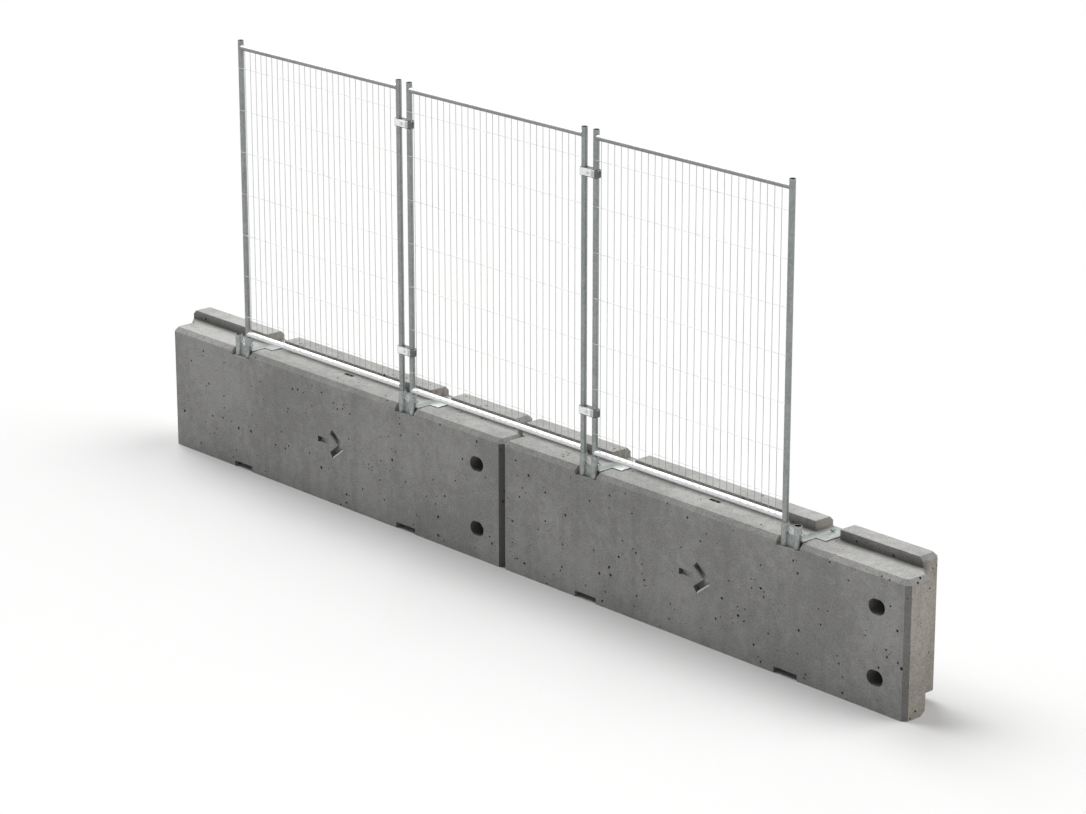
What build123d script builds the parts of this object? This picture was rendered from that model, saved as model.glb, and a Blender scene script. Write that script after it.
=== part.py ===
from build123d import *
import os
from math import sqrt

# Concrete unit: overall sizes
UNIT_PITCH = 3000.0
JOINT_GAP = 4.0
UNIT_COUNT = 2
UNIT_HEIGHT = 800.0
UNIT_WIDTH = 335.0
EDGE_CHAMFER = 25.0

# Top rib, and the rebate underneath that takes the rib of a stacked unit
RIB_HEIGHT = 55.0
RIB_FRONT = 203.0
RIB_GAP = 172.0
RIB_GAP_OFFSET = 90.0
STACK_CLEARANCE = 8.0
PAD_INSET = 25.0

# Joggled ends: the tail steps back on the right, the tongue reaches out on the left
TAIL_FLAT = 150.0
TAIL_STEP = 90.0
SLANT_GAP = 5.0

# Handling holes near the right end
HOLE_FROM_END = 208.0
HOLE_LEVELS = (178.0, 558.0)
HOLE_WIDTH = 110.0
HOLE_HEIGHT = 84.0

# Notches in the front face at each bracket
NOTCH_WIDTH = 166.0
NOTCH_SHIFT = 4.0
NOTCH_DEPTH = 60.0
NOTCH_DROP = 45.0
DRAIN_HEIGHT = 34.0

# Arrow pressed into the front face: three strokes that are deep at the outer end and run out to the point
ARROW_FROM_END = 1500.0
ARROW_LEVEL = 367.0
ARROW_SHAFT = 215.0
ARROW_BARB = 118.0
ARROW_ANGLE = 36.0
ARROW_STROKE = 36.0
ARROW_ROOT = 20.0
ARROW_DEPTH = 24.0

# Lifting anchor and its half-moon recess
LIFT_FROM_END = 1495.0
LIFT_FROM_FRONT = 158.0
RECESS_LENGTH = 78.0
RECESS_WIDTH = 24.0
ANCHOR_THICKNESS = 10.0
ANCHOR_WIDTH = 20.0
ANCHOR_DROP = 4.0
ANCHOR_LENGTH = 300.0
ANCHOR_EYE = 12.0
ANCHOR_EYE_DROP = 12.0
ANCHOR_FOOT = 70.0
ANCHOR_FOOT_HEIGHT = 14.0

# Reinforcement cage
MAIN_BAR = 12.0
LINK_BAR = 8.0
COVER = 35.0
CAGE_FROM_END = 60.0
LINK_COUNT = 6
LINK_PITCH = 500.0

# Socket brackets
BRACKET_FROM_END = 670.0
BRACKETS_PER_UNIT = 2
SOCKET_PITCH = 90.0
SOCKET_OUTER = 42.4
SOCKET_WALL = 2.6
SOCKET_FROM_FRONT = 30.0
SOCKET_RISE = 83.0
WEB_THICKNESS = 6.0
WEB_TOP_DROP = 58.0
INSERTION = 75.0
STRAP_THICKNESS = 6.0
STRAP_LEFT = 13.0
STRAP_RIGHT = 150.0
STRAP_NECK = 82.0
STRAP_NECK_FRONT = 34.0
STRAP_SHOULDER = 124.0
STRAP_BACK = 300.0
BOLT_OFFSET = 80.0
BOLT_FROM_FRONT = 251.0

# Bracket bolt, washer and cast-in threaded socket
BOLT_SIZE = 16.0
BOLT_HEAD_WIDTH = 24.0
BOLT_HEAD_HEIGHT = 10.0
BOLT_REACH = 45.0
WASHER_OUTER = 32.0
WASHER_THICKNESS = 3.0
CAST_IN_WIDTH = 22.0
CAST_IN_LENGTH = 70.0

# Locking screws on the sockets
SCREW_SIZE = 10.0
SCREW_HEAD_WIDTH = 16.0
SCREW_HEAD_HEIGHT = 6.4
SCREW_DROP = 41.0
BOSS_WIDTH = 18.0
BOSS_LENGTH = 9.0
SCREW_SHOWING = 3.0
EMPTY_TIP_GAP = 0.4

# Mesh panels
TUBE_OUTER = 33.7
TUBE_WALL = 2.6
PANEL_RISE = 1792.0
TOP_RAIL_DROP = 41.0
BOTTOM_RAIL_RISE = 21.0
WIRE = 3.0
UPRIGHT_WIRES = 27
UPRIGHT_PITCH = 50.0
CROSS_WIRES = 7
FIRST_CROSS_RISE = 111.0
LAST_CROSS_DROP = 119.0

# Panel couplers
LOWER_COUPLER_RISE = 242.0
UPPER_COUPLER_DROP = 237.0
COUPLER_HEIGHT = 45.0
COUPLER_WIDTH = 52.0
COUPLER_BRIDGE = 24.0
COUPLER_EDGE = 5.0
COUPLER_SPLIT = 2.0
COUPLER_BOLT = 8.0
COUPLER_HEAD_WIDTH = 13.0
COUPLER_HEAD_HEIGHT = 5.3
COUPLER_NUT_HEIGHT = 6.5
COUPLER_BOLT_TAIL = 4.0

# Shanks, washers and the bores of tubes are drawn with a few flats
SHANK_SIDES = 8
BORE_SIDES = 16
HEX_SIDES = 6

# Clearances
RUNNING = 0.3
WELD_GAP = 0.05
BOLT_CLEARANCE = 1.0
SPARE = 5.0

# Levels and lines that follow from the sizes above
LEDGE = UNIT_HEIGHT - RIB_HEIGHT
NOTCH_FLOOR = LEDGE - NOTCH_DROP
SOCKET_TOP = LEDGE + SOCKET_RISE
REBATE_FRONT = RIB_FRONT - STACK_CLEARANCE
REBATE_TOP = RIB_HEIGHT + STACK_CLEARANCE
FRONT_LEFT = JOINT_GAP / 2
FRONT_RIGHT = UNIT_PITCH - JOINT_GAP / 2
TAIL_X = FRONT_RIGHT - TAIL_STEP
TONGUE_FLAT = TAIL_FLAT - JOINT_GAP + SLANT_GAP * sqrt(2)
TONGUE_X = FRONT_LEFT - (RIB_FRONT - TONGUE_FLAT)
BRACKET_PITCH = UNIT_PITCH / BRACKETS_PER_UNIT
CAGE_BOTTOM = REBATE_TOP + COVER
CAGE_TOP = NOTCH_FLOOR - COVER
LEG_FOOT = SOCKET_TOP - INSERTION
STOP_TOP = LEG_FOOT - RUNNING
SCREW_LEVEL = SOCKET_TOP - SCREW_DROP
TUBE_RADIUS = TUBE_OUTER / 2
SOCKET_RADIUS = SOCKET_OUTER / 2
SOCKET_BORE = SOCKET_RADIUS - SOCKET_WALL
STRAP_TOP = LEDGE + STRAP_THICKNESS
CROSS_LINE = SOCKET_FROM_FRONT - TUBE_RADIUS - WELD_GAP - WIRE / 2
UPRIGHT_LINE = CROSS_LINE + WIRE + WELD_GAP
PANEL_SPAN = BRACKET_PITCH - SOCKET_PITCH
PANEL_TOP = SOCKET_TOP + PANEL_RISE
TOP_RAIL_LEVEL = PANEL_TOP - TOP_RAIL_DROP
BOTTOM_RAIL_LEVEL = SOCKET_TOP + BOTTOM_RAIL_RISE
FIRST_CROSS_LEVEL = BOTTOM_RAIL_LEVEL + FIRST_CROSS_RISE
CROSS_PITCH = (TOP_RAIL_LEVEL - LAST_CROSS_DROP - FIRST_CROSS_LEVEL) / (CROSS_WIRES - 1)
COUPLER_LEVELS = (SOCKET_TOP + LOWER_COUPLER_RISE, PANEL_TOP - UPPER_COUPLER_DROP)

# The frame's origin is under the middle of the whole barrier, on the ground
MIDDLE_X = (TONGUE_X + (UNIT_COUNT - 1) * UNIT_PITCH + FRONT_RIGHT) / 2
TO_FRAME = Pos(-MIDDLE_X, -UNIT_WIDTH / 2, 0)

UNIT_NAMES = ("left", "right")
BRACKET_XS = [
    unit * UNIT_PITCH + BRACKET_FROM_END + index * BRACKET_PITCH
    for unit in range(UNIT_COUNT)
    for index in range(BRACKETS_PER_UNIT)
]
PANEL_COUNT = len(BRACKET_XS) - 1


def block(x_span, y_span, z_span):
    """A box between two values on each axis."""
    size = [high - low for low, high in (x_span, y_span, z_span)]
    middle = [(high + low) / 2 for low, high in (x_span, y_span, z_span)]
    return Pos(*middle) * Box(*size)


def rod(radius, start, end):
    """A round bar from one point to another."""
    line = Line(start, end)
    return extrude(Plane(line @ 0, z_dir=line % 0) * Circle(radius), line.length)


def tube(outer_radius, inner_radius, start, end):
    """A round tube from one point to another."""
    line = Line(start, end)
    ring = Circle(outer_radius) - RegularPolygon(inner_radius, BORE_SIDES, major_radius=False)
    return extrude(Plane(line @ 0, z_dir=line % 0) * ring, line.length)


def prism(sides, across, height, plane):
    """A regular prism, measured across its flats, standing on a plane."""
    return extrude(plane * RegularPolygon(across / 2, sides, major_radius=False), height)


def hexagon(across, height, plane):
    """A hexagonal bolt head or nut standing on a plane."""
    return prism(HEX_SIDES, across, height, plane)


def shank(across, start, end):
    """A screw's shank, or the hole for one, from one point to another."""
    line = Line(start, end)
    return prism(SHANK_SIDES, across, line.length, Plane(line @ 0, z_dir=line % 0))


def wire(width, start, end, flat_towards):
    """A thin wire or bar, drawn square, with one pair of its sides across a given direction."""
    line = Line(start, end)
    plane = Plane(line @ 0, x_dir=Vector(*flat_towards), z_dir=line % 0)
    return extrude(plane * Rectangle(width, width), line.length)


def bevel(start, end, level, up):
    """A wedge that takes a 45 degree bevel off a straight top or bottom edge."""
    line = Line((*start, level), (*end, level))
    along = line % 0
    outward = along.cross(Vector(0, 0, 1))
    reach = EDGE_CHAMFER + SPARE
    profile = Polygon((-reach, up * SPARE), (SPARE, -up * reach), (SPARE, up * SPARE), align=None)
    plane = Plane(line @ 1 + along * EDGE_CHAMFER, x_dir=outward, z_dir=-along)
    return extrude(plane * profile, line.length + 2 * EDGE_CHAMFER, dir=-along)


def unit_outline():
    """Plan of a unit: bevelled corners, tongue on the left and tail on the right."""
    c = EDGE_CHAMFER
    return Polygon(
        (FRONT_LEFT + c, 0),
        (FRONT_RIGHT - c, 0),
        (FRONT_RIGHT, c),
        (FRONT_RIGHT, TAIL_FLAT),
        (TAIL_X, TAIL_FLAT + TAIL_STEP),
        (TAIL_X, UNIT_WIDTH - c),
        (TAIL_X - c, UNIT_WIDTH),
        (TONGUE_X + c, UNIT_WIDTH),
        (TONGUE_X, UNIT_WIDTH - c),
        (TONGUE_X, RIB_FRONT),
        (FRONT_LEFT, TONGUE_FLAT),
        (FRONT_LEFT, c),
        align=None,
    )


def rib():
    """The raised rib along the back of the top, open at each bracket strap."""
    c = EDGE_CHAMFER
    plan = Polygon(
        (TONGUE_X, RIB_FRONT),
        (TAIL_X, RIB_FRONT),
        (TAIL_X, UNIT_WIDTH - c),
        (TAIL_X - c, UNIT_WIDTH),
        (TONGUE_X + c, UNIT_WIDTH),
        (TONGUE_X, UNIT_WIDTH - c),
        align=None,
    )
    body = Pos(0, 0, LEDGE) * extrude(plan, RIB_HEIGHT)
    top_edges = body.edges().group_by(Axis.Z)[-1].sort_by(Axis.Y)[1:]
    body = chamfer(top_edges, c)
    for x in rib_gap_xs():
        half = RIB_GAP / 2
        body -= block((x - half, x + half), (0, UNIT_WIDTH + SPARE), (LEDGE, UNIT_HEIGHT + SPARE))
    return body


def bracket_xs_in_unit():
    """Bracket lines of one unit, from its own left end."""
    return [BRACKET_FROM_END + index * BRACKET_PITCH for index in range(BRACKETS_PER_UNIT)]


def rib_gap_xs():
    """Middle of each gap in the rib."""
    return [x + RIB_GAP_OFFSET for x in bracket_xs_in_unit()]


def bevelled_block():
    """The unit up to its ledge, with bevelled front and end edges."""
    c = EDGE_CHAMFER
    body = extrude(unit_outline(), LEDGE)
    body -= bevel((FRONT_LEFT + c, 0), (FRONT_RIGHT - c, 0), LEDGE, 1)
    body -= bevel((FRONT_RIGHT - c, 0), (FRONT_RIGHT, c), LEDGE, 1)
    body -= bevel((FRONT_RIGHT, c), (FRONT_RIGHT, TAIL_FLAT), LEDGE, 1)
    body -= bevel((FRONT_LEFT, c), (FRONT_LEFT + c, 0), LEDGE, 1)
    left_end = bevel((FRONT_LEFT, TONGUE_FLAT), (FRONT_LEFT, c), LEDGE, 1)
    body -= left_end & block(
        (-UNIT_WIDTH, UNIT_WIDTH), (-UNIT_WIDTH, TONGUE_FLAT), (0, UNIT_HEIGHT)
    )
    past_tail = block(
        (TAIL_X, UNIT_PITCH + UNIT_WIDTH), (-SPARE, UNIT_WIDTH), (-UNIT_HEIGHT, UNIT_HEIGHT)
    )
    for level, up in ((LEDGE, 1), (0, -1)):
        slant = bevel((FRONT_RIGHT, TAIL_FLAT), (TAIL_X, TAIL_FLAT + TAIL_STEP), level, up)
        body -= slant & past_tail
    return body


def rebate():
    """Room under the back of a unit for the rib of the unit below, between the pads."""
    room = block(
        (TONGUE_X - SPARE, UNIT_PITCH), (REBATE_FRONT, UNIT_WIDTH + SPARE), (-SPARE, REBATE_TOP)
    )
    half = RIB_GAP / 2 - STACK_CLEARANCE
    for x in rib_gap_xs():
        room -= block(
            (x - half, x + half), (0, UNIT_WIDTH - PAD_INSET), (-2 * SPARE, UNIT_HEIGHT)
        )
    return room


def handling_hole(level):
    """A long round-ended hole right through the unit."""
    slot = SlotOverall(HOLE_WIDTH, HOLE_HEIGHT)
    back = (FRONT_RIGHT - HOLE_FROM_END, UNIT_WIDTH + SPARE, level)
    plane = Plane(back, x_dir=(1, 0, 0), z_dir=(0, -1, 0))
    return extrude(plane * slot, UNIT_WIDTH + 2 * SPARE)


def arrow_stroke(length):
    """A drafted stroke along X, deep at its outer end and running out at the origin."""
    draft = (ARROW_STROKE - ARROW_ROOT) / 2
    opening = Rectangle(length, ARROW_STROKE, align=(Align.MAX, Align.CENTER))
    root = Pos(draft - length, 0) * Rectangle(draft, ARROW_ROOT, align=(Align.MIN, Align.CENTER))
    face = Plane((0, 0, 0), x_dir=(1, 0, 0), z_dir=(0, 1, 0))
    return loft([face * opening, face * Pos(0, 0, ARROW_DEPTH) * root], ruled=True)


def arrow():
    """The shaft of the arrow and its two barbs."""
    middle = Pos(ARROW_FROM_END, 0, ARROW_LEVEL)
    point = middle * Pos(ARROW_SHAFT / 2, 0, 0)
    shaft = middle * arrow_stroke(ARROW_SHAFT / 2)
    barbs = [point * Rot(0, side * ARROW_ANGLE, 0) * arrow_stroke(ARROW_BARB) for side in (1, -1)]
    return [shaft] + barbs


def lifting_anchor():
    """Flat steel anchor with an eye, splayed at the foot, cast in under the recess."""
    top = LEDGE - ANCHOR_DROP
    foot = top - ANCHOR_LENGTH
    x, y = LIFT_FROM_END, LIFT_FROM_FRONT
    half_thickness, half_width = ANCHOR_THICKNESS / 2, ANCHOR_WIDTH / 2
    bar = block((x - half_thickness, x + half_thickness), (y - half_width, y + half_width), (foot, top))
    base = block(
        (x - ANCHOR_FOOT / 2, x + ANCHOR_FOOT / 2),
        (y - half_width, y + half_width),
        (foot - ANCHOR_FOOT_HEIGHT, foot),
    )
    return bar + base


def anchor_eye():
    """The hole through the head of the lifting anchor."""
    level = LEDGE - ANCHOR_DROP - ANCHOR_EYE_DROP
    start = (LIFT_FROM_END - ANCHOR_THICKNESS, LIFT_FROM_FRONT, level)
    end = (LIFT_FROM_END + ANCHOR_THICKNESS, LIFT_FROM_FRONT, level)
    return rod(ANCHOR_EYE / 2, start, end)


def lifting_recess():
    """Half-moon recess in the ledge round the head of the lifting anchor."""
    start = (LIFT_FROM_END, LIFT_FROM_FRONT - RECESS_WIDTH / 2, LEDGE)
    end = (LIFT_FROM_END, LIFT_FROM_FRONT + RECESS_WIDTH / 2, LEDGE)
    return rod(RECESS_LENGTH / 2, start, end)


def barrier_unit():
    """One concrete unit, complete with its notches, holes and recesses."""
    body = bevelled_block() + rib()
    body -= rebate()
    for x in bracket_xs_in_unit():
        low = x + NOTCH_SHIFT - NOTCH_WIDTH / 2
        high = x + NOTCH_SHIFT + NOTCH_WIDTH / 2
        body -= block((low, high), (-SPARE, NOTCH_DEPTH), (NOTCH_FLOOR, UNIT_HEIGHT))
        body -= block((low, high), (-SPARE, REBATE_FRONT + SPARE), (-SPARE, DRAIN_HEIGHT))
        bolt = (x + BOLT_OFFSET, BOLT_FROM_FRONT)
        body -= hexagon(CAST_IN_WIDTH, CAST_IN_LENGTH, Plane((*bolt, LEDGE - CAST_IN_LENGTH)))
    for level in HOLE_LEVELS:
        body -= handling_hole(level)
    for stroke in arrow():
        body -= stroke
    body -= lifting_recess()
    body -= lifting_anchor()
    return body


def reinforcement_cage():
    """Welded cage: long bars inside, upright and level link bars outside them."""
    front = COVER + LINK_BAR / 2
    back = UNIT_WIDTH - COVER - LINK_BAR / 2
    inset = (LINK_BAR + MAIN_BAR) / 2 + WELD_GAP
    bars = []
    for y in (front + inset, back - inset):
        for z in (CAGE_BOTTOM + inset, (CAGE_BOTTOM + CAGE_TOP) / 2, CAGE_TOP - inset):
            bars.append(wire(MAIN_BAR, (CAGE_FROM_END, y, z), (TAIL_X - CAGE_FROM_END, y, z), (0, 1, 0)))
    first = (TAIL_X - LINK_PITCH * (LINK_COUNT - 1)) / 2
    for x in [first + index * LINK_PITCH for index in range(LINK_COUNT)]:
        for y in (front, back):
            bars.append(wire(LINK_BAR, (x, y, CAGE_BOTTOM), (x, y, CAGE_TOP), (0, 1, 0)))
        beside = x + LINK_BAR + WELD_GAP
        for z in (CAGE_BOTTOM, CAGE_TOP):
            bars.append(wire(LINK_BAR, (beside, front, z), (beside, back, z), (0, 0, 1)))
    return bars


def strap(x):
    """Flat strap on the ledge, from the sockets back to the bolt in the rib gap."""
    plan = Polygon(
        (x + STRAP_LEFT, SOCKET_FROM_FRONT),
        (x + STRAP_NECK, STRAP_NECK_FRONT),
        (x + STRAP_NECK, STRAP_SHOULDER),
        (x + STRAP_RIGHT, STRAP_SHOULDER),
        (x + STRAP_RIGHT, STRAP_BACK),
        (x + STRAP_LEFT, STRAP_BACK),
        align=None,
    )
    plate = Pos(0, 0, LEDGE) * extrude(plan, STRAP_THICKNESS)
    bolt = (x + BOLT_OFFSET, BOLT_FROM_FRONT)
    return plate - shank(BOLT_SIZE + BOLT_CLEARANCE, (*bolt, LEDGE - SPARE), (*bolt, STRAP_TOP + SPARE))


def socket_xs(x):
    """The two socket lines of a bracket."""
    return (x - SOCKET_PITCH / 2, x + SOCKET_PITCH / 2)


def bracket(x):
    """Welded bracket: two sockets with solid feet and screw bosses, a web and a strap."""
    y = SOCKET_FROM_FRONT
    left, right = socket_xs(x)
    half_web = WEB_THICKNESS / 2
    body = block((left, right), (y - half_web, y + half_web), (NOTCH_FLOOR, SOCKET_TOP - WEB_TOP_DROP))
    body += strap(x)
    for socket in (left, right):
        body += rod(SOCKET_RADIUS, (socket, y, NOTCH_FLOOR), (socket, y, SOCKET_TOP))
        boss = Plane((socket, y, SCREW_LEVEL), x_dir=(0, 1, 0), z_dir=(1, 0, 0))
        body += hexagon(BOSS_WIDTH, SOCKET_RADIUS + BOSS_LENGTH, boss)
    for socket in (left, right):
        boss_end = socket + SOCKET_RADIUS + BOSS_LENGTH
        body -= rod(SOCKET_BORE, (socket, y, STOP_TOP), (socket, y, SOCKET_TOP + SPARE))
        body -= shank(SCREW_SIZE + 2 * RUNNING, (socket, y, SCREW_LEVEL), (boss_end + SPARE, y, SCREW_LEVEL))
    return body


def locking_screw(socket, occupied):
    """Hexagon screw in a socket's boss, run in to the leg or backed off to the bore."""
    y = SOCKET_FROM_FRONT
    tip = TUBE_RADIUS + RUNNING if occupied else SOCKET_BORE + EMPTY_TIP_GAP
    head = SOCKET_RADIUS + BOSS_LENGTH + SCREW_SHOWING
    body = shank(SCREW_SIZE, (socket + tip, y, SCREW_LEVEL), (socket + head, y, SCREW_LEVEL))
    seat = Plane((socket + head, y, SCREW_LEVEL), x_dir=(0, 1, 0), z_dir=(1, 0, 0))
    return body + hexagon(SCREW_HEAD_WIDTH, SCREW_HEAD_HEIGHT, seat)


def locking_screws():
    """A screw on every socket; the outermost two sockets are empty."""
    sockets = [socket for x in BRACKET_XS for socket in socket_xs(x)]
    last = len(sockets) - 1
    return [locking_screw(socket, 0 < index < last) for index, socket in enumerate(sockets)]


def bracket_bolt(x):
    """Hexagon bolt that holds a strap down."""
    place = (x + BOLT_OFFSET, BOLT_FROM_FRONT)
    seat = STRAP_TOP + WASHER_THICKNESS
    body = shank(BOLT_SIZE, (*place, LEDGE - BOLT_REACH), (*place, seat))
    return body + hexagon(BOLT_HEAD_WIDTH, BOLT_HEAD_HEIGHT, Plane((*place, seat)))


def bracket_washer(x):
    """Washer between a strap and its bolt."""
    place = (x + BOLT_OFFSET, BOLT_FROM_FRONT)
    top = STRAP_TOP + WASHER_THICKNESS
    body = prism(BORE_SIDES, WASHER_OUTER, WASHER_THICKNESS, Plane((*place, STRAP_TOP)))
    return body - shank(BOLT_SIZE + BOLT_CLEARANCE, (*place, STRAP_TOP - SPARE), (*place, top + SPARE))


def cast_in_socket(x):
    """Threaded socket cast into the ledge under a strap, closed at its foot."""
    place = (x + BOLT_OFFSET, BOLT_FROM_FRONT)
    body = hexagon(CAST_IN_WIDTH, CAST_IN_LENGTH, Plane((*place, LEDGE - CAST_IN_LENGTH)))
    foot = LEDGE - BOLT_REACH - SPARE
    return body - shank(BOLT_SIZE + 2 * RUNNING, (*place, foot), (*place, LEDGE + SPARE))


def panel_leg(x):
    """Upright tube of a panel, open at both ends."""
    y = SOCKET_FROM_FRONT
    return tube(TUBE_RADIUS, TUBE_RADIUS - TUBE_WALL, (x, y, LEG_FOOT), (x, y, PANEL_TOP))


def panel_rail(left, right, level):
    """Horizontal tube of a panel, saddled to the legs at both ends."""
    y = SOCKET_FROM_FRONT
    body = tube(TUBE_RADIUS, TUBE_RADIUS - TUBE_WALL, (left, y, level), (right, y, level))
    for x in (left, right):
        body -= rod(TUBE_RADIUS + WELD_GAP, (x, y, level - TUBE_OUTER), (x, y, level + TUBE_OUTER))
    return max(body.solids(), key=lambda solid: solid.volume)


def upright_wires(left):
    """Upright wires, welded to the rails at both ends."""
    inner = SOCKET_FROM_FRONT - UPRIGHT_LINE - WIRE / 2
    reach = sqrt(TUBE_RADIUS ** 2 - inner ** 2) + WELD_GAP
    low, high = BOTTOM_RAIL_LEVEL + reach, TOP_RAIL_LEVEL - reach
    first = left + (PANEL_SPAN - (UPRIGHT_WIRES - 1) * UPRIGHT_PITCH) / 2
    xs = [first + index * UPRIGHT_PITCH for index in range(UPRIGHT_WIRES)]
    return [wire(WIRE, (x, UPRIGHT_LINE, low), (x, UPRIGHT_LINE, high), (0, 1, 0)) for x in xs]


def cross_wires(left, right):
    """Cross wires, welded to the fronts of the legs and of the upright wires."""
    levels = [FIRST_CROSS_LEVEL + index * CROSS_PITCH for index in range(CROSS_WIRES)]
    return [wire(WIRE, (left, CROSS_LINE, z), (right, CROSS_LINE, z), (0, 1, 0)) for z in levels]


def coupler_body(x, level):
    """A pair of eight-sided rings joined by a bridge, bevelled at the rims, before it is split."""
    y = SOCKET_FROM_FRONT
    plan = Rectangle(SOCKET_PITCH, 2 * COUPLER_BRIDGE)
    for side in (1, -1):
        plan += Pos(side * SOCKET_PITCH / 2, 0) * RegularPolygon(
            COUPLER_WIDTH / 2, SHANK_SIDES, major_radius=False, rotation=180 / SHANK_SIDES
        )
    base = level - COUPLER_HEIGHT / 2
    body = Pos(x, y, base) * extrude(plan, COUPLER_HEIGHT)
    rims = body.edges().group_by(Axis.Z)
    body = chamfer(rims[0] + rims[-1], COUPLER_EDGE)
    for leg in socket_xs(x):
        foot = Plane((leg, y, base - SPARE))
        body -= prism(BORE_SIDES, TUBE_OUTER + 2 * RUNNING, COUPLER_HEIGHT + 2 * SPARE, foot)
    return body - shank(COUPLER_BOLT + BOLT_CLEARANCE, (x, 0, level), (x, UNIT_WIDTH, level))


def coupler_half(x, level, side):
    """The front (-1) or rear (1) half of a coupler."""
    y = SOCKET_FROM_FRONT
    near, far = y + side * COUPLER_SPLIT / 2, y + side * UNIT_WIDTH
    keep = block((x - UNIT_WIDTH, x + UNIT_WIDTH), (min(near, far), max(near, far)), (0, PANEL_TOP))
    return coupler_body(x, level) & keep


def coupler_bolt(x, level):
    """Bolt through the bridge of a coupler, its head at the front."""
    y = SOCKET_FROM_FRONT
    front = y - COUPLER_BRIDGE
    end = y + COUPLER_BRIDGE + COUPLER_NUT_HEIGHT + COUPLER_BOLT_TAIL
    seat = Plane((x, front, level), x_dir=(1, 0, 0), z_dir=(0, -1, 0))
    body = shank(COUPLER_BOLT, (x, front, level), (x, end, level))
    return body + hexagon(COUPLER_HEAD_WIDTH, COUPLER_HEAD_HEIGHT, seat)


def coupler_nut(x, level):
    """Nut at the back of a coupler."""
    back = SOCKET_FROM_FRONT + COUPLER_BRIDGE
    seat = Plane((x, back, level), x_dir=(1, 0, 0), z_dir=(0, 1, 0))
    far = back + COUPLER_NUT_HEIGHT + SPARE
    bore = shank(COUPLER_BOLT + 2 * RUNNING, (x, back - SPARE, level), (x, far, level))
    return hexagon(COUPLER_HEAD_WIDTH, COUPLER_NUT_HEIGHT, seat) - bore


def save(name, shapes):
    """Write one node, made of one solid or a group of like solids."""
    solids = []
    for shape in shapes if isinstance(shapes, list) else [shapes]:
        solids += [TO_FRAME * solid for solid in shape.solids()]
    node = solids[0] if len(solids) == 1 else Compound(children=solids)
    node.label = name
    export_step(node, os.path.join("parts", name + ".step"))


def save_units():
    """The concrete units with what is cast into them."""
    unit = barrier_unit()
    cage = reinforcement_cage()
    anchor = lifting_anchor() - anchor_eye()
    for index, side in enumerate(UNIT_NAMES):
        move = Pos(index * UNIT_PITCH, 0, 0)
        save(side + "_barrier_unit", move * unit)
        save(side + "_reinforcement_cage", [move * bar for bar in cage])
        save(side + "_lifting_anchor", move * anchor)


def save_brackets():
    """The brackets and their fasteners."""
    for index, x in enumerate(BRACKET_XS):
        save(f"socket_bracket_{index + 1}", bracket(x))
    save("bracket_bolts", [bracket_bolt(x) for x in BRACKET_XS])
    save("bracket_washers", [bracket_washer(x) for x in BRACKET_XS])
    save("cast_in_bolt_sockets", [cast_in_socket(x) for x in BRACKET_XS])
    save("socket_locking_screws", locking_screws())


def save_panels():
    """The mesh panels, each between two brackets."""
    for index in range(PANEL_COUNT):
        left = BRACKET_XS[index] + SOCKET_PITCH / 2
        right = left + PANEL_SPAN
        name = f"panel_{index + 1}_"
        save(name + "left_leg", panel_leg(left))
        save(name + "right_leg", panel_leg(right))
        save(name + "top_rail", panel_rail(left, right, TOP_RAIL_LEVEL))
        save(name + "bottom_rail", panel_rail(left, right, BOTTOM_RAIL_LEVEL))
        save(name + "upright_wires", upright_wires(left))
        save(name + "cross_wires", cross_wires(left, right))


def save_couplers():
    """Two couplers at each place where panels meet."""
    heights = ("lower", "upper")
    for index, x in enumerate(BRACKET_XS[1:-1]):
        for height, level in zip(heights, COUPLER_LEVELS):
            name = f"{height}_coupler_{index + 1}_"
            save(name + "front_half", coupler_half(x, level, -1))
            save(name + "rear_half", coupler_half(x, level, 1))
            save(name + "bolt", coupler_bolt(x, level))
            save(name + "nut", coupler_nut(x, level))


os.makedirs("parts", exist_ok=True)
save_units()
save_brackets()
save_panels()
save_couplers()
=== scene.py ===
"""Looks of a temporary concrete barrier: cast units, socket brackets and mesh panels."""

import logging
import math
import random
from dataclasses import dataclass, field
from enum import Enum
from typing import Callable, Iterable, NamedTuple, Sequence

import bmesh
import bpy
from mathutils import Matrix, Vector
from mathutils.kdtree import KDTree


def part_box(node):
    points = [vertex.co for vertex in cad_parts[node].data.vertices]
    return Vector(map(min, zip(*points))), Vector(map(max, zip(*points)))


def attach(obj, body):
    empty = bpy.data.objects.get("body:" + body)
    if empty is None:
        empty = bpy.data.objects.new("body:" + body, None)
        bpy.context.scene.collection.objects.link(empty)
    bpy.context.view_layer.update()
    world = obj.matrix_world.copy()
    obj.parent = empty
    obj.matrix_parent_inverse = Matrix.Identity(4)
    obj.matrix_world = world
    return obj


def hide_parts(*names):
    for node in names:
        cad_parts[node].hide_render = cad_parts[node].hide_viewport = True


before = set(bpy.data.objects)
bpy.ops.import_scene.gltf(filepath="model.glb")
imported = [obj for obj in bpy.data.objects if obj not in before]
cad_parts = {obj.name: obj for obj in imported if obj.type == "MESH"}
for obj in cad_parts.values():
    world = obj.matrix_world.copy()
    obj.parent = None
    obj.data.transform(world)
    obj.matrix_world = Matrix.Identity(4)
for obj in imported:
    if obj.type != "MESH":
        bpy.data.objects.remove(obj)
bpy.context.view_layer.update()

LOG = logging.getLogger("barrier")
FIXED_BODY = "barrier"
UNIT_SIDES = ("left", "right")
BRACKET_NUMBERS = (1, 2, 3, 4)
PANEL_NUMBERS = (1, 2, 3)
COUPLER_NUMBERS = (1, 2)
UP = Vector((0.0, 0.0, 1.0))
# Points within this many metres are merged, and faces within this many degrees are joined.
MERGE_DISTANCE = 1e-5
FLAT_ANGLE = 0.5
# Decimals of a metre by which solids are told apart when they are put in order.
ORDER_DECIMALS = 4

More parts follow.
